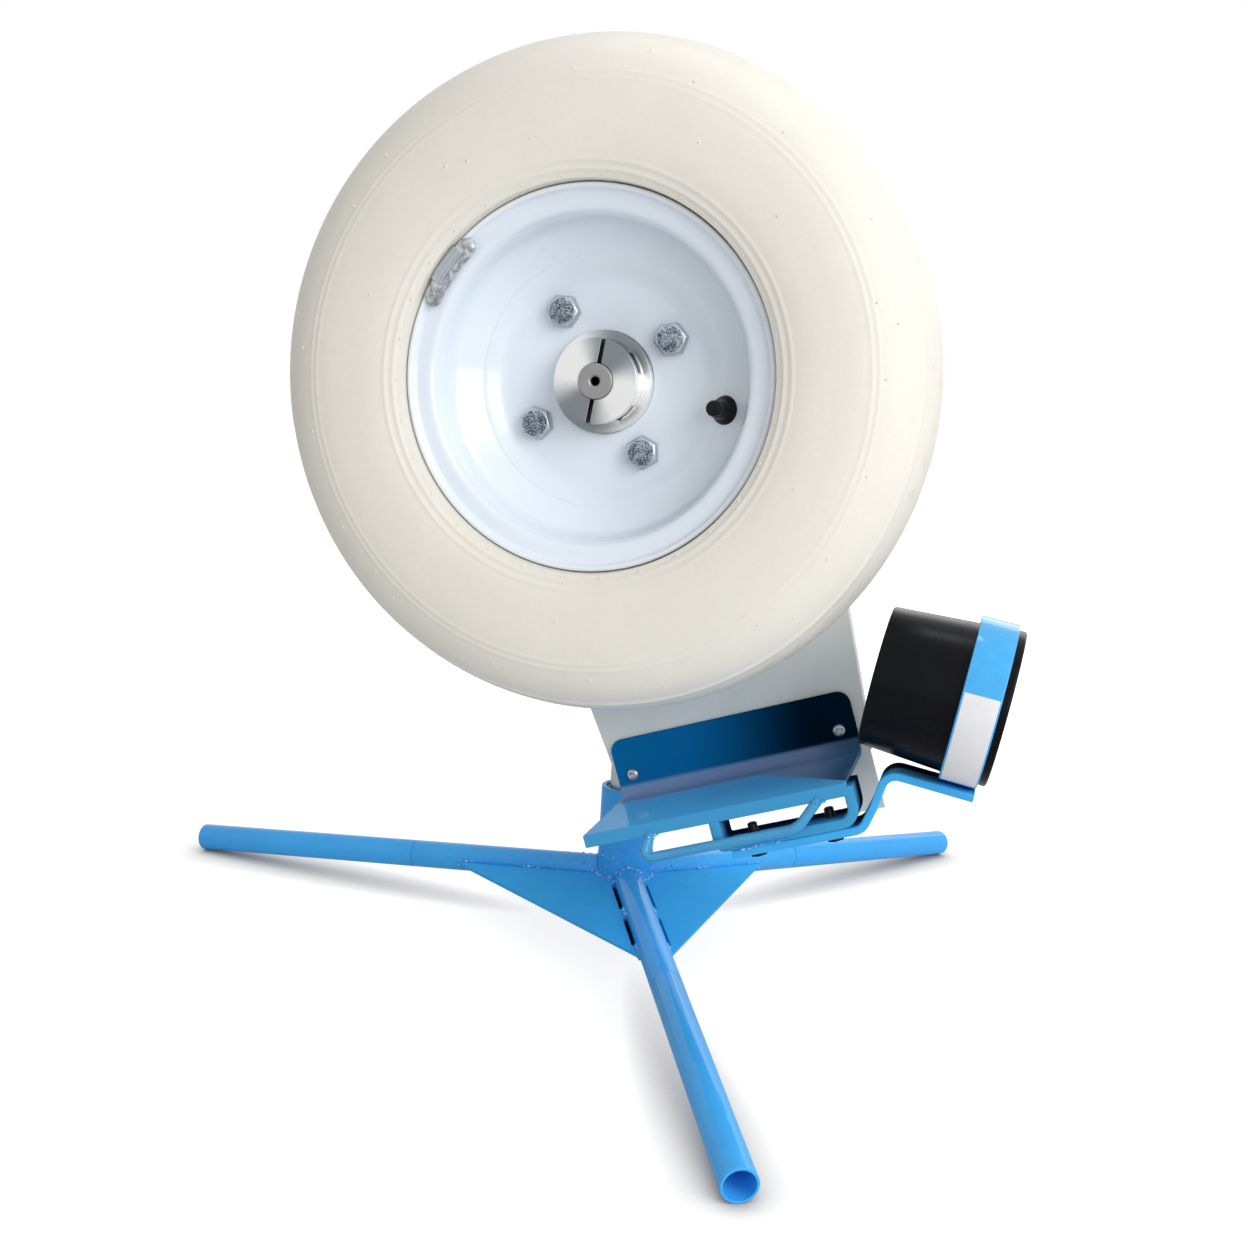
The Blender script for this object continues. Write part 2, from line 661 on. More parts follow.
def bent_bar(section, path, bends, across, place=HERE, steps=8):
    """Bar of one cross-section that follows straight runs joined by round bends.

    section is (side, across) points with a corner cut, and across the direction of its second axis."""
    bm = bmesh.new()
    points = [Vector(p) for p in path]
    heading = (points[1] - points[0]).normalized()
    across = Vector(across)
    across = (across - across.dot(heading) * heading).normalized()
    side = across.cross(heading)
    corners = [bm.verts.new(points[0] + side * row[0] + across * row[1]) for row in section]
    bm.faces.new(corners)
    round_corners(bm, corners, [row[2] if len(row) > 2 else 0 for row in section], 3)
    loop = bm.edges[:]
    bmesh.ops.delete(bm, geom=bm.faces[:], context="FACES_ONLY")
    here = points[0].copy()
    for i in range(1, len(points)):
        heading = (points[i] - here).normalized()
        last = i == len(points) - 1
        onward = heading if last else (points[i + 1] - points[i]).normalized()
        angle = heading.angle(onward)
        bend = 0 if last else bends[i - 1]
        set_back = bend * math.tan(angle / 2)
        run = heading * ((points[i] - here).length - set_back)
        made = bmesh.ops.extrude_edge_only(bm, edges=loop)["geom"]
        fresh = [g for g in made if isinstance(g, bmesh.types.BMVert)]
        bmesh.ops.translate(bm, verts=fresh, vec=run)
        fresh = set(fresh)
        loop = [g for g in made if isinstance(g, bmesh.types.BMEdge) and set(g.verts) <= fresh]
        here += run
        if not last:
            axis = heading.cross(onward).normalized()
            centre = here + axis.cross(heading) * bend
            geom = loop + list({v for e in loop for v in e.verts})
            made = bmesh.ops.spin(bm, geom=geom, cent=centre, axis=axis, angle=angle, steps=steps)
            loop = [g for g in made["geom_last"] if isinstance(g, bmesh.types.BMEdge)]
            here = points[i] + onward * set_back
    cap_ends(bm)
    return moved(clean(bm), place)


def round_section(radius, sides=20):
    """Section of a round rod."""
    return [(radius * math.cos(2 * math.pi * i / sides), radius * math.sin(2 * math.pi * i / sides))
            for i in range(sides)]


def flat_section(thick, wide, cut=0.9):
    """Section of a flat bar."""
    return [(-thick / 2, -wide / 2, cut), (thick / 2, -wide / 2, cut),
            (thick / 2, wide / 2, cut), (-thick / 2, wide / 2, cut)]


def softened(node, width, sharp_from=32, flat_below=0.7):
    """A copy of a CAD node in millimetres, its edges sharper than an angle in degrees rounded."""
    bm = bmesh.new()
    bm.from_mesh(frame["nodes"][node].data)
    bmesh.ops.scale(bm, vec=(1 / MM,) * 3, verts=bm.verts[:])
    bmesh.ops.remove_doubles(bm, verts=bm.verts[:], dist=2e-3)
    bmesh.ops.dissolve_limit(bm, angle_limit=math.radians(flat_below), verts=bm.verts[:],
                             edges=bm.edges[:])
    bevelled(bm, creases(bm, math.radians(sharp_from)), width / MM)
    return bm


def creases(bm, angle):
    """Edges whose two faces turn by more than an angle in radians."""
    return [e for e in bm.edges if len(e.link_faces) == 2 and e.calc_face_angle(0) > angle]


def merged(*parts):
    """One shape out of several."""
    whole = bmesh.new()
    for part in parts:
        mesh = bpy.data.meshes.new("part")
        part.to_mesh(mesh)
        part.free()
        whole.from_mesh(mesh)
        bpy.data.meshes.remove(mesh)
    return whole


def repeated(make, places):
    """The same shape made at each place."""
    return merged(*[make(place) for place in places])


def rounded_block(place, size, cut=0.5):
    """Small block with rounded edges, centred on its place."""
    bm = bmesh.new()
    bmesh.ops.create_cube(bm, size=1, matrix=Matrix.Diagonal((*size, 1)))
    bevelled(bm, bm.edges[:], min(cut, min(size) * 0.35))
    return moved(bm, place)


def hexagon(flats, low, high):
    """Hexagon prism of a width across its flats."""
    bm = bmesh.new()
    r = flats / 2 / math.cos(math.pi / 6)
    bmesh.ops.create_cone(bm, cap_ends=True, segments=6, radius1=r, radius2=r, depth=high - low,
                          matrix=shift(0, 0, low + (high - low) / 2))
    return bm


def hex_nut(place, flats, high):
    """Hexagon nut or plain screw head with rounded edges."""
    bm = hexagon(flats, 0, high)
    bevelled(bm, bm.edges[:], 0.45)
    return moved(bm, place)


def turned(outline, places, steps):
    """The same turned shape at each place."""
    return repeated(lambda place: spun(outline, place, steps), places)


def piece(name, bm, body, slot, finish=None, stands_for=(), smooth=34, even=False):
    """Turns a shape into a piece of the machine, in metres, riding on a body."""
    bmesh.ops.scale(bm, vec=(MM,) * 3, verts=bm.verts[:])
    mesh = bpy.data.meshes.new(name)
    bm.to_mesh(mesh)
    bm.free()
    mesh.shade_smooth()
    mesh.set_sharp_from_angle(angle=math.radians(smooth))
    obj = bpy.data.objects.new(name, mesh)
    bpy.context.scene.collection.objects.link(obj)
    mesh.materials.append(FINISHES[finish or slot])
    if even:
        normals = obj.modifiers.new("even_shading", "WEIGHTED_NORMAL")
        normals.keep_sharp = True
    if stands_for:
        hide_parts(*stands_for)
    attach(obj, body)


def body_of(node):
    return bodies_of(frame["nodes"][node])[0]


def slot_of(node):
    for row in frame["record"]["subparts"]:
        if node in (row.get("name"), row.get("node")):
            return row["material_slot"]
    raise RuntimeError(f"no subpart named {node}")


def softened_piece(node, width, finish=None):
    """The usual finish of a CAD node: a rounded copy that stands for it."""
    piece(node + "_finished", softened(node, width), body_of(node), slot_of(node), finish, (node,), even=True)


# ---------- wheel ----------
def superellipse_point(angle, inset=0.0, power=0.78):
    """Point of the tyre's section at an angle from the tread, as (radius, height)."""
    mid_r = (TYRE_R + SEAT_R) / 2 - 4
    c = math.cos(angle)
    s = math.sin(angle)
    r = mid_r + (TYRE_R - mid_r - inset) * math.copysign(abs(c) ** power, c)
    z = (TYRE_HALF_W - inset) * math.copysign(abs(s) ** power, s)
    return r, z


def tyre_ridge(radius, ridges):
    """Height of the moulded rings at a radius."""
    return sum(high * math.exp(-((radius - at) / wide) ** 2) for at, wide, high in ridges)


def tyre_shape():
    """Tyre turned from its section, with moulded rings, a mould line and vent stubs."""
    ring = sizes().ring_height / MM
    ridges = [(121.5, 0.9, ring * 1.2), (126.5, 0.8, ring), (172.0, 0.8, ring * 0.7),
              (176.0, 0.8, ring * 0.7), (199.5, 0.9, ring * 1.3)]
    outline = []
    steps = 260
    reach = math.radians(137)
    for i in range(steps + 1):
        angle = -reach + 2 * reach * i / steps
        r, z = superellipse_point(angle)
        r1, z1 = superellipse_point(angle + 0.004)
        along = Vector((r1 - r, z1 - z)).normalized()
        lift = tyre_ridge(r, ridges) + 0.5 * math.exp(-(z / 0.7) ** 2)
        r, z = r + along.y * lift, z - along.x * lift
        if r > 116.2:
            outline.append((r, z))
    outline += [(116.1, 40), (101.2, 40), (101.2, -40), (116.1, -40)]
    tyre = spun(outline, AXLE_PLACE, steps=160)
    rng = random.Random(5)
    stubs = []
    for side in (-1, 1):
        spots = [(119.0, 360 * i / 30 + 3) for i in range(30)]
        spots += [(rng.choice((146, 181, 190)) + rng.uniform(-4, 4), 360 * i / 34 + rng.uniform(-5, 5))
                  for i in range(34)]
        for radius, degrees in spots:
            best = min((abs(superellipse_point(math.radians(a / 2))[0] - radius), a / 2)
                       for a in range(60, 280))[1]
            r, z = superellipse_point(math.radians(best))
            spot = AXLE_PLACE @ turn("Z", degrees) @ shift(r, 0, side * (z + 0.2))
            stubs.append(spot if side > 0 else spot @ turn("X", 180))
    return merged(tyre, repeated(vent_stub, stubs))


def vent_stub(place):
    bm = bmesh.new()
    bmesh.ops.create_cone(bm, cap_ends=True, segments=8, radius1=0.8, radius2=0.45, depth=1.6, matrix=place)
    return bm


def barrel_outline():
    """Both skins of the rim from lip to lip, with its drop centre."""
    return [(115.5, 47, 1.7), (115.5, 40, 0.8), (101, 40, 2.5), (101, 16, 3), (76, 5, 4),
            (76, -20, 4), (101, -31, 3), (101, -40, 2.5), (115.5, -40, 0.8), (115.5, -47, 1.7),
            (112.2, -47, 1.5), (112, -43, 2.6), (101, -42.4, 3.6), (98, -38, 3.2), (98, -33, 3.2),
            (73, -22, 4), (73, 7, 4.5), (98, 18, 7), (98, 38, 3.4), (101, 42.4, 3.6),
            (112, 43, 2.6), (112.2, 47, 1.5)]


def disc_outline():
    """Pressed wheel centre: flat, with a soft crease and an edge laid on the slope of the barrel."""
    return [(32, 0, 0.6), (65.5, 0, 2), (69.5, -3, 3), (69.5, -14, 0.6), (73.2, -14, 0.6), (73.2, 5.5, 0.6),
            (79, 8.9, 0.3), (78.6, 9.9, 0.5), (71, 6.2, 4), (66, 3.5, 4), (32, 3.5, 0.8)]


def hex_bolt_head(place, flats=19.0, high=8.0):
    """Forged hexagon head with its washer face, and its domed crown with three raised grade ticks."""
    bm = hexagon(flats, 0.8, high)
    bevelled(bm, [e for e in bm.edges if all(v.co.z > high - 0.01 for v in e.verts)], 1.7, 3)
    bevelled(bm, creases(bm, 0.9), 0.5)
    moved(bm, place)
    washer = spun([(flats * 0.3, 0), (flats * 0.5, 0, 0.2), (flats * 0.5, 0.9, 0.2), (flats * 0.3, 0.9)],
                  place, 48)
    dome = spun([(0, high - 1.8), (flats * 0.488, high - 1.8, 0.2), (flats * 0.46, high - 0.1, 0.9),
                 (flats * 0.3, high + 0.35, 2.0), (0, high + 0.5)], place, 48, segments=4)
    ticks = []
    for i in range(3):
        tick = bmesh.new()
        bmesh.ops.create_cube(tick, size=1, matrix=place @ turn("Z", 120 * i + 20)
                              @ shift(flats * 0.27, 0, high + 0.42) @ Matrix.Diagonal((3.4, 0.8, 0.5, 1)))
        bevelled(tick, tick.edges[:], 0.15, 1)
        ticks.append(tick)
    return merged(bm, washer), merged(dome, *ticks)


class MACHINE_OT_tyre(bpy.types.Operator):
    """Add the cream tyre with its moulded rings and vent stubs"""
    bl_idname = "machine.tyre"
    bl_label = "Tyre"

    def execute(self, context):
        piece("tyre_casing", tyre_shape(), "wheel", "tyre", stands_for=("tyre",), smooth=50)
        return {"FINISHED"}


class MACHINE_OT_rim(bpy.types.Operator):
    """Add the rim barrel and the pressed wheel centre"""
    bl_idname = "machine.rim"
    bl_label = "Rim and centre"

    def execute(self, context):
        piece("rim_barrel", spun(barrel_outline(), AXLE_PLACE, 160, segments=6), "wheel", "rim_paint",
              stands_for=("wheel_rim",), smooth=60)
        piece("wheel_centre", spun(disc_outline(), AXLE_PLACE, 128, segments=5), "wheel", "rim_paint",
              stands_for=("wheel_disc",), smooth=60)
        weld = spun([(72.2, -14.6), (74.4, -12.6), (75.0, -9.8), (72.6, -10)], AXLE_PLACE, 96)
        piece("centre_weld", weld, "wheel", "rim_paint")
        return {"FINISHED"}


class MACHINE_OT_hub(bpy.types.Operator):
    """Add the turned hub, its clamp screws and the end of the drive shaft"""
    bl_idname = "machine.hub"
    bl_label = "Hub and shaft"

    def execute(self, context):
        softened_piece("wheel_hub", sizes().cast_round)
        softened_piece("hub_screws", 0.0002, "black_screw")
        softened_piece("drive_shaft", 0.0009, "shaft")
        return {"FINISHED"}


class MACHINE_OT_lug_bolts(bpy.types.Operator):
    """Add the four wheel bolts with their washers"""
    bl_idname = "machine.lug_bolts"
    bl_label = "Wheel bolts"

    def execute(self, context):
        places = [WHEEL @ turn("Z", 90 * i) @ shift(LUG_CIRCLE_R, 0, DISC_FRONT) for i in range(4)]
        heads, crowns = zip(*[hex_bolt_head(p @ turn("Z", 17 * i + 8)) for i, p in enumerate(places)])
        shanks = turned([(0, -19.5), (5, -19.5, 0.8), (5, 0.5), (0, 0.5)], places, 24)
        piece("wheel_bolts", merged(*heads, shanks), "wheel", "zinc", stands_for=("lug_bolts",), smooth=40)
        piece("bolt_crowns", merged(*crowns), "wheel", "zinc", "bolt", smooth=40)
        return {"FINISHED"}


class MACHINE_OT_valve(bpy.types.Operator):
    """Add the rubber valve stem and its ribbed cap"""
    bl_idname = "machine.valve"
    bl_label = "Valve"

    def execute(self, context):
        stem = spun([(0, -9), (5, -9, 0.5), (5, -1, 0.5), (9.4, 0.6, 0.6), (9.0, 4.0, 1.4), (6.0, 8.0, 1.4),
                     (4.8, 13, 0.6), (0, 13)], STEM, 48)
        piece("valve_rubber_stem", stem, "wheel", "rubber", stands_for=("valve_stem",), smooth=45)
        cap = spun([(0, 12.6), (4.6, 12.6, 0.3), (4.9, 13.6, 0.3), (4.9, 19.6, 0.9), (4.1, 21, 0.8), (0, 21)],
                   STEM, 48)
        ribs = turned([(0, 0), (0.55, 0), (0.55, 5.2, 0.3), (0, 5.2)],
                      [STEM @ turn("Z", 30 * i) @ shift(4.75, 0, 13.8) for i in range(12)], 8)
        piece("valve_dust_cap", merged(cap, ribs), "wheel", "rubber", stands_for=("valve_cap",), smooth=45)
        return {"FINISHED"}


class MACHINE_OT_balance_weight(bpy.types.Operator):
    """Add the clip-on balance weight at the rim lip"""
    bl_idname = "machine.balance_weight"
    bl_label = "Balance weight"

    def execute(self, context):
        body = spun([(103.6, 45.2, 1.0), (111.2, 43.6, 0.6), (112, 46.6, 0.4), (114.8, 47.2, 0.8),
                     (114.4, 49.2, 1.0), (104.4, 49.4, 1.4)], AXLE_PLACE @ turn("Z", 135.6), 36, 20.8)
        ends = repeated(lambda p: ripple(p, 1.0), [AXLE_PLACE @ turn("Z", a) @ shift(109.1, 0, 47.0)
                        @ Matrix.Diagonal((8.7, 4.9, 3.8, 1)) for a in (135.8, 156.2)])
        piece("balance_weight", merged(body, ends), "wheel", "zinc", "weight", ("wheel_weight",))
        clip = spun([(107.2, 48.8, 0.3), (107.2, 50.9, 0.5), (108.6, 50.9, 0.4), (109.1, 50.1, 0.3),
                     (111.9, 50.1, 0.3), (112.4, 50.8, 0.3), (114.2, 50.6, 0.8), (116.2, 48.4, 0.6),
                     (116.2, 44.2, 0.2), (115.6, 44.2, 0.2), (115.6, 47.6, 0.4), (113.2, 48.8, 0.4)],
                    AXLE_PLACE @ turn("Z", 138.8), 16, 12)
        piece("weight_clip", clip, "wheel", "zinc")
        return {"FINISHED"}


# ---------- plate, track and chute ----------
class MACHINE_OT_plate(bpy.types.Operator):
    """Add the galvanised main plate and the bolts that hold the track and motor"""
    bl_idname = "machine.plate"
    bl_label = "Main plate"

    def execute(self, context):
        softened_piece("main_plate", sizes().sheet_round)
        places = [HEAD @ shift(s * 75, -261.5, TRACK_BACK) for s in (-1, 1)]
        heads = turned([(0, -0.2), (4.4, -0.2), (4.3, 1.4, 0.6), (3.3, 2.8, 0.9), (2.1, 2.9, 0.2),
                        (1.9, 1.0, 0.1), (0, 1.0)], places, 40)
        rear = turned([(0, -16.2), (3, -16.2, 0.6), (3, 0), (0, 0)], places, 24)
        nuts = repeated(lambda p: hex_nut(p, 10, 5), [p @ shift(0, 0, -SHEET_T - 2.5 - 5) for p in places])
        piece("plate_bolts", merged(heads, rear, nuts), "head", slot_of("track_bolts"), "zinc",
              ("track_bolts",))
        softened_piece("motor_bolts", 0.0004, "zinc")
        return {"FINISHED"}


class MACHINE_OT_track(bpy.types.Operator):
    """Add the folded track sheet, the bar frame under it and the guard rod"""
    bl_idname = "machine.track"
    bl_label = "Track"

    def execute(self, context):
        softened_piece("track_plate", sizes().sheet_round * 1.6, "track")
        top = FLOOR_Y - SHEET_T
        mid = FRAME_LOW + FRAME_BAR_T / 2
        path = [(x, y, FRAME_MID_Z) for x, y in ((-0.25, top + 0.6), (-0.25, mid), (87.75, mid),
                                                 (87.75, top + 0.6))]
        bar = bent_bar(flat_section(FRAME_BAR_T, 29.6, 1.1), path, [4.2, 9.5], (0, 0, 1), HEAD)
        piece("track_bar_frame", bar, "head", "blue_paint", "frame", ("track_frame",), smooth=40)
        rod = bent_bar(round_section(3.25), [(-42.0, -283.8, 20.2), (-51, -298, 26), (52, -298, 26),
                       (68.4, -283.6, 20.2)], [4.5, 17.0], (0, 0, 1), HEAD, 12)
        piece("guard_rod", rod, "head", "blue_paint", "rod", ("track_rod",), smooth=50)
        return {"FINISHED"}


def chute_shape():
    """Feed chute: a tapered tube with rolled lips."""
    small, large, wall, length = 43.5, 48.5, 4.0, 80.0
    outline = [(small, 0, 1.6), (small + (large - small) * 0.66, length * 0.66, 8), (large, length, 1.6),
               (large - wall, length, 1.2), (small + (large - small) * 0.66 - wall, length * 0.66, 8),
               (small - wall, 0, 1.2)]
    return spun(outline, CHUTE, 128)


class MACHINE_OT_chute(bpy.types.Operator):
    """Add the black feed chute, its clamp band and the bent bracket with its screws"""
    bl_idname = "machine.chute"
    bl_label = "Feed chute"

    def execute(self, context):
        piece("feed_chute", chute_shape(), "head", slot_of("chute_tube"), "chute", ("chute_tube",), smooth=45)
        band = spun([(48.0, 52, 0.3), (BAND_R, 52, 0.8), (BAND_R, 75, 0.8), (48.2, 75, 0.3)], CHUTE, 128)
        piece("clamp_band", band, "head", "blue_paint", "band", ("chute_band",))
        label = spun([(51.5, 53.2), (51.85, 53.2, 0.1), (51.85, 74.0, 0.1), (51.5, 74.0)],
                     CHUTE @ turn("Z", 165.5), 36, 78.5)
        piece("blank_band_label", label, "head", "blue_paint", "label")
        angle = math.radians(CHUTE_DROP + TRACK_TILT)
        along = Vector((math.cos(angle), -math.sin(angle), 0))
        wheel_end = turn("Z", -TRACK_TILT).to_3x3() @ CHUTE_AT
        seat = wheel_end + (BAND_R + CHUTE_BAR_T / 2 - 0.6) * Vector((along.y, -along.x, 0))
        low = FRAME_LOW - CHUTE_BAR_T / 2
        lift = Vector((0, 0, FRAME_MID_Z))
        path = [Vector((6.5, low, 0)), Vector((90, low, 0)), Vector((100, low + 12, 0)),
                seat + 22 * along, seat + 75 * along]
        bar = bent_bar(flat_section(CHUTE_BAR_T, 30), [p + lift for p in path], [10.0, 12.0, 9.0],
                       (0, 0, 1), HEAD)
        piece("chute_bar", bar, "head", "blue_paint", "bracket", ("chute_bracket",), smooth=40)
        screws = [HEAD @ shift(x, FRAME_LOW - CHUTE_BAR_T, FRAME_MID_Z) @ turn("X", 90) for x in (20.5, 70.5)]
        shafts = repeated(threaded_screw, screws)
        piece("chute_bar_screws", shafts, "head", slot_of("chute_screws"), "black_screw",
              ("chute_screws",))
        return {"FINISHED"}


def threaded_screw(place):
    """Hexagon screw with a threaded end that stands above the frame bar."""
    shank = spun([(0, -17.5), (2.4, -17.5, 0.4), (3, -16.4), (3, 0.2), (0, 0.2)], place, 24)
    rings = turned([(2.6, 0), (3.35, 0.32, 0.1), (2.6, 0.64)],
                   [place @ shift(0, 0, -17.0 + 0.9 * i) for i in range(7)], 20)
    return merged(shank, rings, hex_nut(place, 10, 4))


# ---------- tripod ----------
def gusset_place(middle):
    return shift(0, 0, HUB_H) @ turn("Z", middle) @ turn("Y", GUSSET_SLOPE)


def gusset_edge(middle, side):
    """Frame on a gusset whose x axis runs along one of its two legs."""
    return gusset_place(middle) @ Matrix.Rotation(side * GUSSET_HALF, 4, "Z")


def gusset_shape(middle, slit_side):
    """Plate between two legs, cut back from the tube between its stitch welds."""
    bm = bmesh.new()
    corners = []
    for side in (1, -1):
        gap = SLIT_WIDE if side == slit_side else SLIT_NARROW
        run = [(GUSSET_START, 0)]
        for first, last in SLITS:
            run += [(first, 0), (first, gap), (last, gap), (last, 0)]
        run.append((GUSSET_REACH - TUBE_R * math.tan(GUSSET_HALF), 0))
        edge = [gusset_edge(middle, side) @ Vector((x, -side * (TUBE_R + out - 0.3), -GUSSET_T / 2))
                for x, out in run]
        corners += edge if side > 0 else edge[::-1]
    face = bm.faces.new([bm.verts.new(c) for c in corners])
    made = bmesh.ops.extrude_face_region(bm, geom=[face])["geom"]
    up = gusset_place(middle).to_3x3() @ Vector((0, 0, GUSSET_T))
    bmesh.ops.translate(bm, verts=[v for v in made if isinstance(v, bmesh.types.BMVert)], vec=up)
    clean(bm)
    bevelled(bm, bm.edges[:], sizes().sheet_round / MM, clamp=True)
    return bm


class MACHINE_OT_tripod(bpy.types.Operator):
    """Add the leg tubes, their stubs and the gusset plates"""
    bl_idname = "machine.tripod"
    bl_label = "Tripod"

    def execute(self, context):
        inner = TUBE_R - TUBE_WALL
        for name in LEG_AZIMUTHS:
            place = leg_place(name)
            tube = spun([(inner, SEAM_REACH + 0.3, 0.3), (TUBE_R, SEAM_REACH + 0.3, 0.5),
                         (TUBE_R, LEG_REACH, 0.5), (inner, LEG_REACH, 0.3)], place, 64)
            piece(name + "_leg_tube", tube, "leg_" + name, "blue_paint", "tube", (name + "_leg",))
            stub = spun([(inner, 17), (TUBE_R, 17), (TUBE_R, SEAM_REACH, 0.5), (inner, SEAM_REACH, 0.3)],
                        place, 64)
            piece(name + "_stub_tube", stub, "base", "blue_paint", "tube", (name + "_stub",))
        for node, (middle, slit_side) in GUSSETS.items():
            piece(node + "_plate", gusset_shape(middle, slit_side), "base", "blue_paint", "gusset",
                  (node,), even=True)
        return {"FINISHED"}


def ripple(place, size, stretch=1.0):
    """One ripple of a weld bead."""
    bm = bmesh.new()
    bmesh.ops.create_icosphere(bm, subdivisions=2, radius=1,
                               matrix=place @ Matrix.Diagonal((size * 0.62, size * stretch, size * 0.62, 1)))
    return bm


def bead(start, end, size, rng, place=HERE):
    """Straight weld bead from start to end, as overlapping ripples laid along it."""
    run = end - start
    count = max(2, int(run.length / (size * 0.62)))
    along = run.to_track_quat("X", "Z").to_matrix().to_4x4()
    made = []
    for i in range(count):
        at = start + run * ((i + 0.5) / count)
        wobble = Vector([rng.uniform(-0.18, 0.18) for _ in range(3)]) * size
        made.append(place @ Matrix.Translation(at + wobble) @ along)
    return merged(*[ripple(p, size * rng.uniform(0.88, 1.08)) for p in made])


def ring_bead(place, radius, size, rng):
    """Weld bead round a circle."""
    count = int(2 * math.pi * radius / (size * 0.62))
    made = []
    for i in range(count):
        spot = place @ turn("Z", 360 * (i + 0.5) / count) @ shift(radius, 0, 0) @ turn("Z", 90)
        made.append(ripple(spot, size * rng.uniform(0.88, 1.1)))
    return merged(*made)


def saddle(name, degrees):
    """Point of the curve where a leg stub meets the socket."""
    a = math.radians(degrees)
    side = TUBE_R * math.cos(a)
    outward = math.sqrt(SOCKET_R ** 2 - side ** 2) / math.cos(math.radians(LEG_DROOP))
    return leg_place(name) @ Vector((TUBE_R * math.sin(a), side, outward))


class MACHINE_OT_welds(bpy.types.Operator):
    """Lay the welds and spatter of base and track, and a dark strip under the gusset slits"""
    bl_idname = "machine.welds"
    bl_label = "Welds"

    def execute(self, context):
        rng = random.Random(11)
        size = sizes().bead_size / MM
        beads = []
        backing = []
        for name in LEG_AZIMUTHS:
            around = [saddle(name, 360 * i / 40) for i in range(40)]
            beads += [ripple(Matrix.Translation(p), size * rng.uniform(0.9, 1.15), 0.75) for p in around]
        for middle, slit_side in GUSSETS.values():
            for side in (-1, 1):
                edge = gusset_edge(middle, side)
                for first, last in STITCHES:
                    for face in (1, -1):
                        line = [Vector((x, -side * TUBE_R, face * 2.0)) for x in (first, last)]
                        beads.append(bead(line[0], line[1], size * 0.62, rng, edge))
                if side == slit_side:
                    backing += [rounded_block(edge @ shift((first + last) / 2, -side * (TUBE_R + 2.4), -2.2),
                                              (last - first + 2, 7, 1.0), 0.3) for first, last in SLITS]
            arc = [gusset_place(middle) @ turn("Z", a) @ shift(SOCKET_R + 0.5, 0, 1.8)
                   for a in range(-32, 33, 5)]
            beads += [ripple(p @ turn("Z", 90), size * 0.8) for p in arc]
        piece("slit_backing", merged(*backing), "base", "blue_paint", "slit")
        boss = LOCK @ shift(0, 0, SOCKET_R)
        beads.append(ring_bead(boss, 11.4, size * 0.8, rng))
        piece("base_welds", merged(*beads), "base", "blue_paint", "weld", smooth=80)
        spatter = []
        for _ in range(230):
            name = rng.choice(list(LEG_AZIMUTHS))
            out = 20 + abs(rng.gauss(0, 22))
            around = rng.uniform(0, 360)
            spot = leg_place(name) @ turn("Z", around) @ shift(TUBE_R + 0.1, 0, out)
            if out > SOCKET_R + 2:
                spatter.append(spot)
        for _ in range(130):
            spatter.append(shift(0, 0, 30 + abs(rng.gauss(18, 14))) @ turn("Z", rng.uniform(0, 360))
                           @ shift(SOCKET_R + 0.1, 0, 0))
        specks = merged(*[speck(p, rng.uniform(0.35, 0.95)) for p in spatter])
        piece("weld_spatter", specks, "base", "blue_paint", "weld", smooth=80)
        under = FLOOR_Y - SHEET_T
        seams = [bead(Vector((x, under, FRAME_MID_Z - 14)), Vector((x, under, FRAME_MID_Z + 10)),
                      size * 0.75, rng, HEAD) for x in (-4.2, 3.6, 84.0)]
        for x, y, z in ((-42.4, -285.3, 20.0), (67.6, -285.3, 20.0)):
            seams.append(ring_bead(HEAD @ shift(x, y, z) @ turn("X", 90), 3.5, size * 0.7, rng))
        seams.append(bead(Vector((12, FRAME_LOW + 0.2, FRAME_MID_Z + 14.8)),
                          Vector((40, FRAME_LOW + 0.2, FRAME_MID_Z + 14.8)), 1.0, rng, HEAD))
        piece("track_welds", merged(*seams), "head", "blue_paint", "weld", smooth=80)
        return {"FINISHED"}


def speck(place, size):
    """A tiny bead of spatter."""
    bm = bmesh.new()
    bmesh.ops.create_icosphere(bm, subdivisions=1, radius=size, matrix=place)
    return bm


# ---------- post ----------
class MACHINE_OT_post(bpy.types.Operator):
    """Add the socket, the post, the swivel lock and the tilt clamp"""
    bl_idname = "machine.post"
    bl_label = "Post and clamps"

    def execute(self, context):
        low, high = (c.z for c in cad_box("socket_tube"))
        inner = SOCKET_R - SOCKET_WALL
        tube = spun([(inner, low, 0.4), (SOCKET_R, low, 0.8), (SOCKET_R, high, 0.9), (inner, high, 0.6)])
        piece("socket_body", tube, "base", "blue_paint", "tube", ("socket_tube",))
        for node, width in (("lock_boss", 0.0006), ("swivel_knob", 0.0012), ("tilt_knob", 0.0012),
                            ("tilt_ring", 0.0010), ("tilt_bolt", 0.0004), ("socket_cap", 0.0003),
                            ("post_bushing", 0.0003), ("mast_post", 0.0004)):
            softened_piece(node, width)
        return {"FINISHED"}


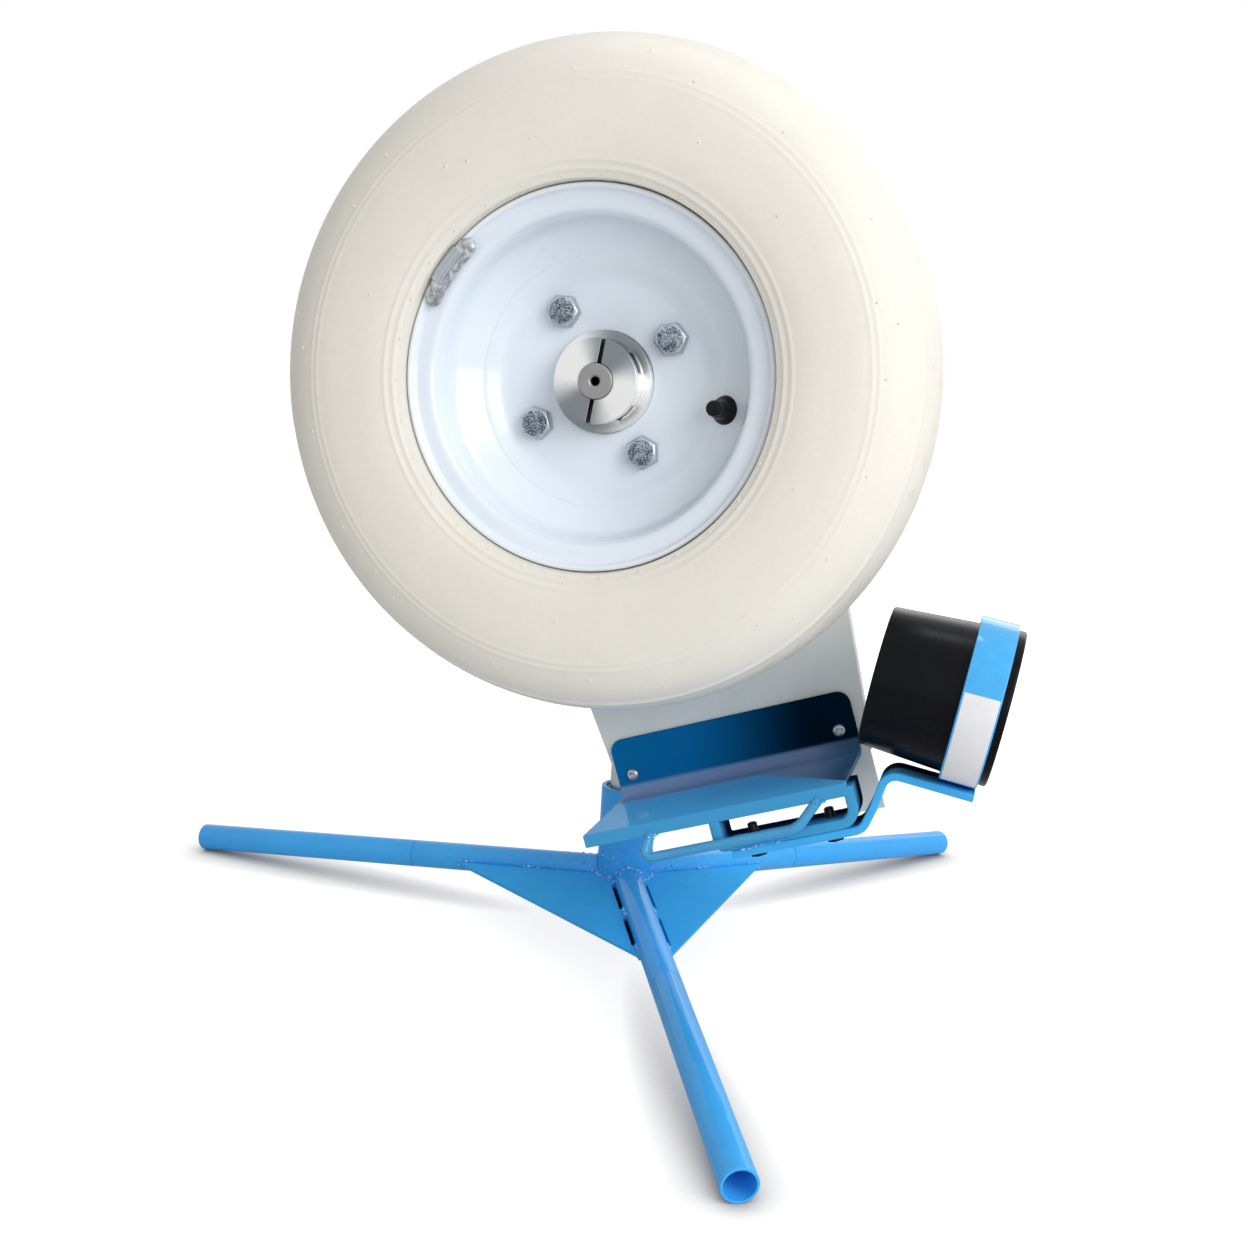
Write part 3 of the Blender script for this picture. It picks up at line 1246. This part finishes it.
# ---------- motor ----------
class MACHINE_OT_motor(bpy.types.Operator):
    """Add the motor case with its bells, ribs, brush caps and tie bolts, and the conduit"""
    bl_idname = "machine.motor"
    bl_label = "Motor"

    def execute(self, context):
        case = spun([(51.4, CASE_BACK, 0.3), (MOTOR_R, CASE_BACK, 0.8), (MOTOR_R, CASE_FRONT, 0.8),
                     (51.4, CASE_FRONT, 0.3)], HEAD, 128)
        piece("motor_shell", case, "head", "motor_paint", stands_for=("motor_case",))
        rings = turned([(55.8, 0), (56.5, 0.4, 0.3), (56.5, 1.6, 0.3), (55.8, 2)],
                       [HEAD @ shift(0, 0, z) for z in (CASE_BACK + 28, CASE_FRONT - 30)], 128)
        piece("case_rings", rings, "head", "motor_paint")
        softened_piece("front_bell", sizes().cast_round, "motor_paint")
        rear = spun([(0, CASE_BACK), (55.4, CASE_BACK, 0.4), (MOTOR_R, CASE_BACK - 1, 0.4),
                     (MOTOR_R, MOTOR_BACK + 3.5, 3.0), (50, MOTOR_BACK + 0.4, 2), (30, MOTOR_BACK + 0.4, 1.2),
                     (27, MOTOR_BACK + 2.4, 1.2), (20, MOTOR_BACK + 2.4, 1), (18, MOTOR_BACK, 1.2),
                     (0, MOTOR_BACK)], HEAD, 128)
        piece("rear_end_bell", rear, "head", slot_of("rear_bell"), "motor_paint", ("rear_bell",))
        ribs = repeated(lambda p: rounded_block(p, (17, 2.6, 2.4)),
                        [HEAD @ turn("Z", 30 * i) @ shift(39, 0, MOTOR_BACK + 1.2) for i in range(12)])
        piece("bell_ribs", ribs, "head", "motor_paint")
        ties = repeated(lambda p: hex_nut(p, 8, 3.4),
                        [HEAD @ turn("Z", 45 + 90 * i) @ shift(45, 0, MOTOR_BACK + 1.4) @ turn("X", 180)
                         for i in range(4)])
        piece("tie_bolt_heads", ties, "head", "zinc")
        for s in (-1, 1):
            place = HEAD @ shift(0, 0, CASE_BACK + 14) @ turn("Y", s * 90)
            cap = spun([(0, 50.5), (6, 50.5), (6, 57), (8, 57, 0.3), (8, 61, 0.9), (1.0, 61, 0.2),
                        (0, 60.6)], place, 40)
            slot = rounded_block(place @ shift(0, 0, 61), (10, 1.2, 0.5))
            piece("brush_cap_right" if s > 0 else "brush_cap_left", merged(cap, slot), "head",
                  slot_of("brush_caps"), "black_plastic", ("brush_caps",))
        softened_piece("conduit_nipple", 0.0004)
        lock_nut = hex_nut(HEAD @ shift(0, BOX_Y - 3.4, CASE_FRONT - 10) @ turn("X", -90), 19, 3.2)
        piece("conduit_lock_nut", lock_nut, "head", "zinc")
        return {"FINISHED"}


# ---------- controls ----------
def plain_text(words, size, place):
    """Generic marks, such as the numbers of a dial, as a thin raised shape."""
    curve = bpy.data.curves.new("marks", "FONT")
    curve.body = words
    curve.size = size
    curve.extrude = 0.12
    curve.align_x = "CENTER"
    curve.align_y = "CENTER"
    carrier = bpy.data.objects.new("marks", curve)
    bpy.context.scene.collection.objects.link(carrier)
    mesh = bpy.data.meshes.new_from_object(carrier.evaluated_get(bpy.context.evaluated_depsgraph_get()))
    bpy.data.objects.remove(carrier)
    bm = bmesh.new()
    bm.from_mesh(mesh)
    bpy.data.meshes.remove(mesh)
    bmesh.ops.remove_doubles(bm, verts=bm.verts[:], dist=1e-4)
    return moved(bm, place)


class MACHINE_OT_controls(bpy.types.Operator):
    """Add the control box, cover, speed dial with its scale, rocker and cord gland"""
    bl_idname = "machine.controls"
    bl_label = "Controls"

    def execute(self, context):
        softened_piece("control_box", 0.0009, "box_paint")
        softened_piece("control_cover", sizes().sheet_round, "box_paint")
        face, switch = (HEAD @ shift(x, FACE_Y, BOX_REAR) @ turn("Y", 180) for x in (DIAL_X, SWITCH_X))
        marks = []
        for i in range(11):
            degrees = DIAL_ZERO - 27 * i
            at = face @ turn("Z", degrees)
            marks.append(rounded_block(at @ shift(20.6, 0, 0.1), (2.6, 0.7, 0.3), 0.08))
            marks.append(plain_text(str(i), 4.4, at @ shift(25.2, 0, 0.1) @ turn("Z", -degrees)))
        for words, y in (("ON", 21.5), ("OFF", -21.5)):
            marks.append(plain_text(words, 4.2, switch @ shift(0, y, 0.1)))
        piece("panel_marks", merged(*marks), "head", slot_of("control_cover"), "mark")
        softened_piece("speed_dial", 0.0007, "black_plastic")
        ribs = repeated(lambda p: rounded_block(p, (1.2, 1.5, 9.5), 0.4),
                        [face @ turn("Z", 15 * i) @ shift(12.9, 0, 9.3) for i in range(24)])
        piece("dial_ribs", ribs, "dial", "black_plastic")
        pointer = rounded_block(face @ turn("Z", DIAL_ZERO) @ shift(8.6, 0, 15.35), (7.6, 1.0, 0.4), 0.1)
        piece("dial_pointer", pointer, "dial", "black_plastic", "mark")
        for node in ("power_rocker", "switch_body", "cord_gland"):
            softened_piece(node, 0.0005)
        softened_piece("cover_screws", 0.0004, "zinc")
        return {"FINISHED"}


class MACHINE_OT_inner_parts(bpy.types.Operator):
    """Give every CAD part that is still shown the finish of its material slot"""
    bl_idname = "machine.inner_parts"
    bl_label = "Inner parts"

    def execute(self, context):
        for name, node in frame["nodes"].items():
            if node.hide_render:
                continue
            node.data.materials.clear()
            node.data.materials.append(FINISHES[slot_of(name)])
        return {"FINISHED"}


# ---------- stage ----------
def lamp(name, size, power, place, target):
    """Soft rectangular lamp that faces a target."""
    data = bpy.data.lights.new(name, "AREA")
    data.shape = "RECTANGLE"
    data.size, data.size_y = size
    data.energy = power
    light = bpy.data.objects.new(name, data)
    light.location = place
    light.rotation_mode = "QUATERNION"
    light.rotation_quaternion = (Vector(target) - Vector(place)).to_track_quat("-Z", "Y")
    bpy.context.scene.collection.objects.link(light)


class MACHINE_OT_stage(bpy.types.Operator):
    """Add the pale floor, the soft lamps, the white surroundings and the camera"""
    bl_idname = "machine.stage"
    bl_label = "Stage"

    def execute(self, context):
        scene = bpy.context.scene
        bm = bmesh.new()
        bmesh.ops.create_grid(bm, x_segments=2, y_segments=2, size=12)
        mesh = bpy.data.meshes.new("studio_floor")
        bm.to_mesh(mesh)
        bm.free()
        floor = bpy.data.objects.new("studio_floor", mesh)
        scene.collection.objects.link(floor)
        mesh.materials.append(self.floor_finish())
        self.surroundings(scene)
        for name, (size, power, place, target) in LAMPS.items():
            lamp(name, size, power, place, target)
        self.camera(scene)
        scene.view_settings.view_transform = "Standard"
        return {"FINISHED"}

    def floor_finish(self):
        """White sweep that keeps a soft shadow, darker where a piece is close above it."""
        made = Finish("studio_floor_white", Roughness=0.9, Specular_IOR_Level=0.0)
        rays = made.node("ShaderNodeLightPath").flow("Is Camera Ray")
        seen = made.blend(made.noise(0.6, 2), (0.27, 0.265, 0.26), (0.28, 0.275, 0.27))
        made.colour(made.blend(rays, (0.74, 0.74, 0.74), seen))
        x, y = (made.part(made.where, axis) for axis in "XY")
        away = ((x * x + y * y) ** 0.5).ramp(0.40, 0.95)
        open_sky = made.node("ShaderNodeAmbientOcclusion", {"samples": 8}, {"Distance": 0.03}).flow("AO")
        strength = rays * open_sky ** 1.6 * (away * 0.5 + 0.86)
        glow = made.node("ShaderNodeEmission", None, {"Color": (1, 1, 1, 1), "Strength": strength})
        total = made.node("ShaderNodeAddShader", None, {0: made.shader.outputs[0], 1: glow.flow()})
        made.tree.links.new(total.node.outputs[0], made.tree.nodes["Material Output"].inputs["Surface"])
        return made.material

    def surroundings(self, scene):
        """White world, dimmer as a light on the pieces than as a backdrop."""
        world = bpy.data.worlds.new("studio_world")
        scene.world = world
        world.use_nodes = True
        world.node_tree.nodes.clear()
        graph = Graph(world.node_tree)
        path = graph.node("ShaderNodeLightPath")
        seen = path.flow("Is Camera Ray")
        for ray in ("Is Transmission Ray", "Is Glossy Ray"):
            seen = graph.node("ShaderNodeMath", {"operation": "MAXIMUM"}, {0: seen, 1: path.flow(ray)}).flow()
        soft, white = (graph.node("ShaderNodeBackground", None, {"Color": (1, 1, 1, 1), "Strength": strength})
                       for strength in (0.45, 1.0))
        both = graph.node("ShaderNodeMixShader", None, {0: seen, 1: soft.flow(), 2: white.flow()})
        graph.node("ShaderNodeOutputWorld", None, {"Surface": both.flow()})

    def camera(self, scene):
        """Camera in front of the wheel, a little right of its axle, looking slightly down."""
        heading, pitch, roll = (math.radians(a) for a in CAMERA_TURNS)
        ahead = Vector((-math.sin(heading) * math.cos(pitch), math.cos(heading) * math.cos(pitch),
                        -math.sin(pitch)))
        right = Vector((math.cos(heading), math.sin(heading), 0))
        down = ahead.cross(right)
        across = math.cos(roll) * right + math.sin(roll) * down
        below = -math.sin(roll) * right + math.cos(roll) * down
        data = bpy.data.cameras.new("studio_camera")
        data.lens = CAMERA_LENS
        data.sensor_width = 36
        data.clip_start = 0.05
        data.clip_end = 60
        camera = bpy.data.objects.new("studio_camera", data)
        basis = Matrix((across, -below, -ahead)).transposed()
        camera.matrix_world = Matrix.Translation(CAMERA_AT) @ basis.to_4x4()
        scene.collection.objects.link(camera)
        scene.camera = camera


OPERATORS = (
    MACHINE_OT_tyre, MACHINE_OT_rim, MACHINE_OT_hub, MACHINE_OT_lug_bolts, MACHINE_OT_valve,
    MACHINE_OT_balance_weight, MACHINE_OT_plate, MACHINE_OT_track, MACHINE_OT_chute, MACHINE_OT_tripod,
    MACHINE_OT_welds, MACHINE_OT_post, MACHINE_OT_motor, MACHINE_OT_controls, MACHINE_OT_inner_parts,
    MACHINE_OT_stage,
)


class MACHINE_PT_sidebar(bpy.types.Panel):
    """Lists the machine's pieces, sizes and colours"""
    bl_idname = "MACHINE_PT_sidebar"
    bl_label = "Pitching Machine"
    bl_space_type = "VIEW_3D"
    bl_region_type = "UI"
    bl_category = "Machine"

    def draw(self, context):
        layout = self.layout
        for operator in OPERATORS:
            layout.operator(operator.bl_idname)
        for group in (context.scene.machine_sizes, context.scene.machine_colours):
            for name in group.__annotations__:
                layout.prop(group, name)


CLASSES = (MachineColours, MachineSizes, *OPERATORS, MACHINE_PT_sidebar)


def register():
    for cls in CLASSES:
        bpy.utils.register_class(cls)
    bpy.types.Scene.machine_sizes = PointerProperty(type=MachineSizes)
    bpy.types.Scene.machine_colours = PointerProperty(type=MachineColours)


def unregister():
    del bpy.types.Scene.machine_colours
    del bpy.types.Scene.machine_sizes
    for cls in reversed(CLASSES):
        bpy.utils.unregister_class(cls)


def main():
    register()
    make_finishes()
    for operator in OPERATORS:
        group, name = operator.bl_idname.split(".")
        getattr(getattr(bpy.ops, group), name)()
    bpy.context.view_layer.update()


if __name__ == "__main__":
    main()
